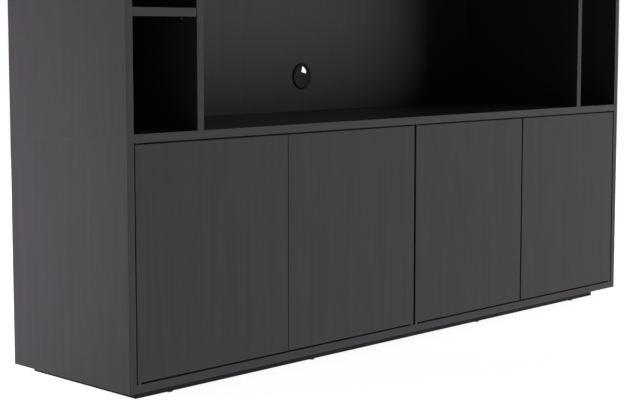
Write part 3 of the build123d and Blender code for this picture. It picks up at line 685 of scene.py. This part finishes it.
def add_block(name, low, high):
    """A block between two corners."""
    deselect_all()
    middle = [(near + far) / 2 for near, far in zip(low, high)]
    lengths = [far - near for near, far in zip(low, high)]
    bpy.ops.mesh.primitive_cube_add(size=1, location=middle, scale=lengths)
    block = bpy.context.object
    block.name = name
    bpy.ops.object.transform_apply(location=True, rotation=True, scale=True)
    return block


def turn_shape(name, profile, steps, hollow=False):
    """A shape turned about Z from its radii and heights. A hollow one ends where it starts."""
    deselect_all()
    radius, height = profile[0]
    fill = "NOTHING" if hollow else "NGON"
    bpy.ops.mesh.primitive_circle_add(vertices=steps, radius=radius, fill_type=fill)
    shape = bpy.context.object
    shape.name = name
    settle(shape, (0, 0, height))
    bpy.ops.object.mode_set(mode="EDIT")
    bpy.ops.mesh.select_all(action="SELECT")
    for next_radius, next_height in profile[1:]:
        bpy.ops.mesh.extrude_region_move(TRANSFORM_OT_translate={"value": (0, 0, next_height - height)})
        share = next_radius / radius
        bpy.ops.transform.resize(value=(share, share, 1), center_override=(0, 0, next_height))
        radius, height = next_radius, next_height
    bpy.ops.mesh.select_all(action="SELECT")
    bpy.ops.mesh.remove_doubles(threshold=MERGE_DISTANCE)
    bpy.ops.mesh.normals_make_consistent(inside=False)
    leave_edit()
    return shape


def apply_modifier(piece, kind, **settings):
    """Applies one modifier to a piece."""
    choose(piece)
    modifier = piece.modifiers.new(kind.title(), kind)
    for name, value in settings.items():
        setattr(modifier, name, value)
    bpy.ops.object.modifier_apply(modifier=modifier.name)


def soften(piece, width):
    """Rounds a piece's sharp edges."""
    limits = {"limit_method": "ANGLE", "angle_limit": SHARP_ANGLE}
    apply_modifier(piece, "BEVEL", width=width, segments=SOFT_EDGE_STEPS, **limits)


def cut_out(piece, cutter):
    """Takes a cutter's shape out of a piece, and removes the cutter."""
    apply_modifier(piece, "BOOLEAN", operation="DIFFERENCE", solver="EXACT", object=cutter)
    bpy.data.objects.remove(cutter)


def placed_copy(pattern, place, turn=(0, 0, 0)):
    """A copy of a modelled shape with a mesh of its own, turned and put in its place."""
    copy = pattern.copy()
    copy.data = pattern.data.copy()
    bpy.context.scene.collection.objects.link(copy)
    settle(copy, place, turn)
    return copy


def joined(name, parts):
    """Several shapes as one piece."""
    choose(parts[0])
    for part in parts:
        part.select_set(True)
    bpy.ops.object.join()
    parts[0].name = name
    return parts[0]


def hand_over(piece, material, body, slot, *nodes):
    """Gives a piece its shading, its material and its body, and hides the nodes that it stands for."""
    choose(piece)
    bpy.ops.object.shade_smooth_by_angle(angle=SMOOTH_ANGLE)
    piece.data.materials.clear()
    piece.data.materials.append(bpy.data.materials[material])
    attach(piece, body)
    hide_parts(*nodes)


def solids_of(node):
    """The points of each separate solid of a CAD node."""
    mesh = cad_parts[node].data
    places = [tuple(round(value, 6) for value in vertex.co) for vertex in mesh.vertices]
    leader = {place: place for place in places}

    def head(place):
        while leader[place] != place:
            place = leader[place]
        return place

    for face in mesh.polygons:
        first, *others = [head(places[index]) for index in face.vertices]
        for other in others:
            leader[other] = first
    solids = {}
    for place in sorted(leader):
        solids.setdefault(head(place), []).append(Vector(place))
    return list(solids.values())


def box_of(points):
    """The lowest and highest corners of some points."""
    axes = list(zip(*points))
    return Vector([min(values) for values in axes]), Vector([max(values) for values in axes])


class FinishBoards(bpy.types.Operator):
    """Give the boards, doors, backs and plinth their grained black foil"""

    bl_idname = "wall_unit.finish_boards"
    bl_label = "Finish Boards"

    def execute(self, context):
        finish = context.scene.board_finish
        upright, level = finish.roughness, finish.level_roughness
        boards, plinth, rear = finish.board_colour, finish.plinth_painted_shade_colour, finish.rear_colour
        dress(UPRIGHTS, make_board_material("foil_upright", boards, ALONG_Z, upright, finish))
        dress(LEVELS, make_board_material("foil_level", boards, ALONG_X, level, finish))
        dress(DOORS, make_board_material("foil_door", finish.door_colour, ALONG_Z, upright, finish))
        dress(BACKS, make_board_material("foil_back", finish.back_colour, ALONG_Z, upright, finish, rear))
        # The plinth's darker colour is painted shade under the bottom board
        dress(PLINTH_LONG, make_board_material("foil_plinth_long", plinth, ALONG_X, upright, finish))
        dress(PLINTH_SHORT, make_board_material("foil_plinth_short", plinth, ALONG_Y, upright, finish))
        return {"FINISHED"}


class FinishFittings(bpy.types.Operator):
    """Give the plastic, brass, steel and beech fittings their finishes"""

    bl_idname = "wall_unit.finish_fittings"
    bl_label = "Finish Fittings"

    def execute(self, context):
        finish = context.scene.fitting_finish
        plungers = [f"latch_plunger_{number}" for number in range(1, 5)]
        bushes = [f"door_{number}_fittings" for number in range(1, 5)]
        leaves = ("pivot_leaves_top", "pivot_leaves_bottom")
        moulded = ("glides", "pivot_washers", *plungers)
        fitting = (finish.plastic_colour, FITTING_GRAIN, FITTING_GLOSS)
        dress(moulded, make_moulded_material("moulded_black", *fitting))
        make_moulded_material("moulded_grommet", finish.grommet_colour, GROMMET_GRAIN, GROMMET_GLOSS)
        dress(bushes, make_metal_material("turned_brass", finish.brass_colour))
        dress(("wall_brackets",), make_metal_material("zinc_plate", finish.steel_colour))
        dress(leaves, make_metal_material("black_zinc", finish.black_zinc_colour))
        beech = make_beech_material("raw_beech", finish.beech_colour, ALONG_X)
        dress(("base_dowels", "upper_dowels"), beech)
        return {"FINISHED"}


class ModelGrommet(bpy.types.Operator):
    """Turn the grommet's ring, and cut its cap with the notch for the cables"""

    bl_idname = "wall_unit.model_grommet"
    bl_label = "Model Grommet"

    def execute(self, context):
        sizes = context.scene.grommet_sizes
        low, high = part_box("grommet_ring")
        centre = Vector((low[0] + high[0], 0, low[2] + high[2])) / 2
        centre.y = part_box("niche_back")[0][1]
        cap_low, cap_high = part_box("grommet_cap")
        cap_front, cap_back = centre.y - cap_low[1], centre.y - cap_high[1]
        ring_radius, flange, sleeve = (high[0] - low[0]) / 2, centre.y - low[1], high[1] - centre.y
        self.turn_ring(sizes, centre, ring_radius, flange, sleeve, cap_back)
        self.make_cap(sizes, centre, (cap_high[0] - cap_low[0]) / 2, cap_front, cap_back)
        return {"FINISHED"}

    def turn_ring(self, sizes, centre, radius, flange, sleeve, cap_back):
        """The sloping flange, the bore, the ledge for the cap and the sleeve behind."""
        ledge_top = cap_back - sizes.ledge_gap
        ledge_foot = ledge_top - sizes.ledge_thickness
        profile = (
            (radius, 0), (radius, sizes.rim), (sizes.face_radius, flange), (sizes.bore_radius, flange),
            (sizes.bore_radius, ledge_top), (sizes.ledge_radius, ledge_top),
            (sizes.ledge_radius, ledge_foot), (sizes.bore_radius, ledge_foot),
            (sizes.bore_radius, -sleeve), (sizes.sleeve_radius, -sleeve),
            (sizes.sleeve_radius, 0), (radius, 0),
        )
        ring = turn_shape("grommet_ring_turned", profile, sizes.steps, hollow=True)
        soften(ring, sizes.edge)
        settle(ring, centre, UP_TO_FRONT)
        hand_over(ring, "moulded_grommet", "carcass", "grommet_plastic", "grommet_ring")

    def make_cap(self, sizes, centre, radius, front, back):
        """A disc with a raised edge, and a notch from its rim."""
        inner = radius - sizes.lip_width
        dish = front - sizes.lip_height
        profile = ((radius, back), (radius, front), (inner, front), (inner - sizes.lip_height, dish))
        cap = turn_shape("grommet_cap_notched", profile, sizes.steps)
        settle(cap, centre, UP_TO_FRONT)
        half, margin = sizes.notch_width / 2, sizes.bore_radius
        low = (sizes.notch_offset - half, -margin, sizes.notch_foot)
        high = (sizes.notch_offset + half, margin, sizes.notch_foot + margin)
        cutter = add_block("notch_cutter", low, high)
        middle = (low[2] + high[2]) / 2
        edit_edges(cutter, lambda near, far: max(near.z, far.z) < middle and near.x == far.x)
        bpy.ops.mesh.bevel(offset=sizes.notch_corner, segments=NOTCH_CORNER_STEPS)
        leave_edit()
        settle(cutter, centre, (0, sizes.notch_turn, 0))
        cut_out(cap, cutter)
        soften(cap, sizes.edge)
        hand_over(cap, "moulded_grommet", "grommet_cap", "grommet_plastic", "grommet_cap")


class ModelScrews(bpy.types.Operator):
    """Turn the screws of the pivot leaves, the modules and the wall brackets, each with a cross recess"""

    bl_idname = "wall_unit.model_screws"
    bl_label = "Model Screws"

    def execute(self, context):
        sizes = context.scene.screw_sizes
        self.place("pivot_screws", sizes.leaf_shank, sizes.leaf_head, sizes, sunk=True)
        self.place("module_screws", sizes.module_shank, sizes.module_head, sizes, sunk=False)
        self.place("bracket_screws", sizes.bracket_shank, sizes.bracket_head, sizes, sunk=False)
        return {"FINISHED"}

    def place(self, node, shank, head, sizes, sunk):
        """One screw modelled and copied to each place. A sunk head is on top, and a round one below."""
        boxes = [box_of(points) for points in solids_of(node)]
        low, high = boxes[0]
        head_radius, length = (high.x - low.x) / 2, high.z - low.z
        point = (length - head) * sizes.point_share
        tip = shank * POINT_TIP_SHARE
        if sunk:
            profile = (
                (tip, -length), (shank, point - length), (shank, -head),
                (head_radius, -head * SUNK_RIM_SHARE), (head_radius, 0),
            )
        else:
            profile = (
                *[(head_radius * across, -head * down) for across, down in ROUND_HEAD_SHARES],
                (shank, 0), (shank, length - head - point), (tip, length - head),
            )
        pattern = turn_shape("screw_pattern", profile, sizes.steps)
        face = 0 if sunk else -head
        half = head_radius * sizes.recess_share
        for turn in (0, math.pi / 2):
            low = (-half, -sizes.recess_slot / 2, face - sizes.recess_depth)
            high = (half, sizes.recess_slot / 2, face + sizes.recess_depth)
            cutter = add_block("recess_cutter", low, high)
            settle(cutter, turn=(0, 0, turn))
            cut_out(pattern, cutter)
        copies = []
        for index, (low, high) in enumerate(boxes):
            height = high.z if sunk else low.z + head
            place = ((low.x + high.x) / 2, (low.y + high.y) / 2, height)
            copies.append(placed_copy(pattern, place, (0, 0, index * SCREW_TURN)))
        bpy.data.objects.remove(pattern)
        material, slot = ("black_zinc", "black_zinc") if sunk else ("zinc_plate", "zinc_steel")
        hand_over(joined(f"{node}_turned", copies), material, "carcass", slot, node)


class ModelLatches(bpy.types.Operator):
    """Mould the housings of the push latches, with sunk sides and a sloped bore"""

    bl_idname = "wall_unit.model_latches"
    bl_label = "Model Latches"

    def execute(self, context):
        sizes = context.scene.moulding_sizes
        boxes = [box_of(points) for points in solids_of("latch_housings")]
        reach = (boxes[0][1] - boxes[0][0]) / 2
        housing = add_block("latch_pattern", -reach, reach)
        edit_edges(housing, lambda near, far: near.z < 0 and far.z < 0 and near.x == far.x)
        bpy.ops.mesh.bevel(offset=sizes.long_edge, segments=LATCH_EDGE_STEPS)
        leave_edit()
        edit_faces(housing, lambda middle, normal: abs(normal.x) > SQUARE_SHARE)
        bpy.ops.mesh.inset(thickness=sizes.panel_border, depth=-sizes.panel_depth)
        leave_edit()
        edit_faces(housing, lambda middle, normal: normal.y < -SQUARE_SHARE)
        bpy.ops.mesh.inset(thickness=sizes.nose_border, depth=-sizes.nose_depth)
        leave_edit()
        mouth, radius, nose = sizes.bore_mouth, sizes.bore_radius, sizes.nose_depth
        profile = ((radius + mouth + nose, -nose), (radius, nose + mouth), (radius, sizes.bore_depth))
        cutter = turn_shape("bore_cutter", profile, BORE_STEPS)
        settle(cutter, (0, -reach.y, 0), UP_TO_REAR)
        cut_out(housing, cutter)
        copies = [placed_copy(housing, (low + high) / 2) for low, high in boxes]
        bpy.data.objects.remove(housing)
        latches = joined("latch_housings_moulded", copies)
        hand_over(latches, "moulded_black", "carcass", "black_plastic", "latch_housings")
        return {"FINISHED"}


class ModelShelfSupports(bpy.types.Operator):
    """Shape the shelf supports, each with a rounded rest and a round peg"""

    bl_idname = "wall_unit.model_shelf_supports"
    bl_label = "Model Shelf Supports"

    def execute(self, context):
        sizes = context.scene.moulding_sizes
        for node in ("base_shelf_supports", "column_shelf_supports"):
            solids = solids_of(node)
            pattern = self.shape(sizes, *box_of(solids[0]))
            copies = []
            for points in solids:
                low, high = box_of(points)
                upright_is_right = self.width_at(points, high.x) < self.width_at(points, low.x)
                turn = (0, 0, 0 if upright_is_right else math.pi)
                copies.append(placed_copy(pattern, (low + high) / 2, turn))
            bpy.data.objects.remove(pattern)
            hand_over(joined(f"{node}_rounded", copies), "black_zinc", "carcass", "black_zinc", node)
        return {"FINISHED"}

    def width_at(self, points, x):
        """How wide a support is at one of its ends."""
        ys = [point.y for point in points if abs(point.x - x) < END_TOLERANCE]
        return max(ys) - min(ys)

    def shape(self, sizes, low, high):
        """A support about its own middle, with its peg on the right."""
        reach = (high - low) / 2
        foot = sizes.rest_length - reach.x
        rest = add_block("rest", -reach, (foot, reach.y, reach.z))
        edit_edges(rest, lambda near, far: near.x < 0 and far.x < 0 and near.y == far.y)
        bpy.ops.mesh.bevel(offset=sizes.rest_corner, segments=REST_CORNER_STEPS)
        leave_edit()
        soften(rest, sizes.edge)
        end = reach.x - foot
        profile = ((sizes.peg_radius, -sizes.edge), (sizes.peg_radius, end - sizes.peg_slope),
                   (sizes.peg_radius - sizes.peg_slope, end))
        peg = turn_shape("peg", profile, PEG_STEPS)
        settle(peg, (foot, 0, 0), UP_TO_RIGHT)
        return joined("support_pattern", [rest, peg])


def add_lamp(name, place, target, size, power):
    """An oval lamp that faces a point, hidden from the camera."""
    data = bpy.data.lights.new(name, "AREA")
    data.shape = "ELLIPSE"
    data.size, data.size_y = size
    data.energy = power
    lamp = bpy.data.objects.new(name, data)
    lamp.location = place
    lamp.rotation_euler = (Vector(target) - Vector(place)).to_track_quat("-Z", "Y").to_euler()
    lamp.visible_camera = False
    bpy.context.scene.collection.objects.link(lamp)


def seen_directly(tree):
    """One for what the camera sees, straight or by a reflection or through glass, and else zero."""
    path = add_node(tree, "ShaderNodeLightPath")
    names = ("Is Camera Ray", "Is Glossy Ray", "Is Transmission Ray")
    return sum_of(tree, *[path.outputs[name] for name in names], clamp=True)


class BuildStudio(bpy.types.Operator):
    """Set the unit on a pale floor with soft lamps and a camera"""

    bl_idname = "wall_unit.build_studio"
    bl_label = "Build Studio"

    def execute(self, context):
        studio = context.scene.studio_settings
        deselect_all()
        self.lay_floor(studio)
        self.light_world(studio)
        add_lamp("key_lamp", *KEY_LAMP, studio.key_power)
        add_lamp("side_lamp", *SIDE_LAMP, studio.side_power)
        add_lamp("rear_lamp", *REAR_LAMP, studio.rear_power)
        add_lamp("top_lamp", *TOP_LAMP, studio.top_power)
        self.place_camera(studio)
        context.scene.view_settings.view_transform = "Standard"
        return {"FINISHED"}

    def lay_floor(self, studio):
        """A wide floor that is nearly white to the camera and still takes the unit's shadow."""
        bpy.ops.mesh.primitive_plane_add(size=FLOOR_SIZE, location=(0, 0, 0))
        floor = bpy.context.object
        floor.name = "studio_floor"
        floor.visible_shadow = False
        material, tree, shader, coordinates = new_material("studio_floor")
        feed(tree, shader.inputs, {
            "Base Color": with_alpha(studio.floor_colour),
            "Roughness": FLOOR_ROUGHNESS,
            "Specular IOR Level": 0.0,
        })
        distance = vector_math(tree, "LENGTH", {0: coordinates.outputs["Object"]}).outputs["Value"]
        reach = (studio.glow_start, studio.glow_end)
        whiteness = ranged(tree, distance, reach, (studio.floor_glow, 1.0))
        strength = product_of(tree, seen_directly(tree), whiteness)
        glow = add_node(tree, "ShaderNodeEmission", {"Strength": strength})
        both = add_node(tree, "ShaderNodeAddShader", {0: shader.outputs[0], 1: glow.outputs[0]})
        tree.links.new(both.outputs[0], tree.nodes["Material Output"].inputs["Surface"])
        floor.data.materials.append(material)

    def light_world(self, studio):
        """A white surround that gives the unit only an even, low light."""
        world = bpy.data.worlds.new("studio")
        world.use_nodes = True
        bpy.context.scene.world = world
        tree = world.node_tree
        dim = tree.nodes["Background"]
        feed(tree, dim.inputs, {"Color": WHITE, "Strength": studio.ambient})
        white = add_node(tree, "ShaderNodeBackground", {"Color": WHITE, "Strength": 1.0})
        shaders = {0: seen_directly(tree), 1: dim.outputs[0], 2: white.outputs[0]}
        mix = add_node(tree, "ShaderNodeMixShader", shaders)
        tree.links.new(mix.outputs[0], tree.nodes["World Output"].inputs["Surface"])

    def place_camera(self, studio):
        """A camera at the height of the doors, turned towards the right end of the unit."""
        data = bpy.data.cameras.new("camera")
        data.lens = studio.camera_lens
        data.shift_y = studio.camera_shift
        camera = bpy.data.objects.new("camera", data)
        camera.location = studio.camera_place
        camera.rotation_euler = (math.pi / 2 - studio.camera_drop, 0, -studio.camera_turn)
        bpy.context.scene.collection.objects.link(camera)
        bpy.context.scene.camera = camera


class WallUnitPanel(bpy.types.Panel):
    """The steps that finish the wall unit"""

    bl_idname = "VIEW3D_PT_wall_unit"
    bl_label = "Wall Unit"
    bl_space_type = "VIEW_3D"
    bl_region_type = "UI"
    bl_category = "Wall Unit"

    def draw(self, context):
        for step in STEPS:
            self.layout.operator(step.bl_idname)


STEPS = (
    FinishBoards, FinishFittings, ModelGrommet, ModelScrews, ModelLatches, ModelShelfSupports, BuildStudio
)
SETTINGS = {
    "board_finish": BoardFinish,
    "fitting_finish": FittingFinish,
    "grommet_sizes": GrommetSizes,
    "screw_sizes": ScrewSizes,
    "moulding_sizes": MouldingSizes,
    "studio_settings": StudioSettings,
}


def register():
    """Makes the settings, steps and panel known to Blender."""
    for kind in (*SETTINGS.values(), *STEPS, WallUnitPanel):
        bpy.utils.register_class(kind)
    for name, kind in SETTINGS.items():
        setattr(bpy.types.Scene, name, PointerProperty(type=kind))


def unregister():
    """Takes them away again."""
    for name in SETTINGS:
        delattr(bpy.types.Scene, name)
    for kind in (WallUnitPanel, *reversed(STEPS), *reversed(SETTINGS.values())):
        bpy.utils.unregister_class(kind)


def main():
    """Runs every step in order."""
    register()
    bpy.ops.wall_unit.finish_boards()
    bpy.ops.wall_unit.finish_fittings()
    bpy.ops.wall_unit.model_grommet()
    bpy.ops.wall_unit.model_screws()
    bpy.ops.wall_unit.model_latches()
    bpy.ops.wall_unit.model_shelf_supports()
    bpy.ops.wall_unit.build_studio()


if __name__ == "__main__":
    main()
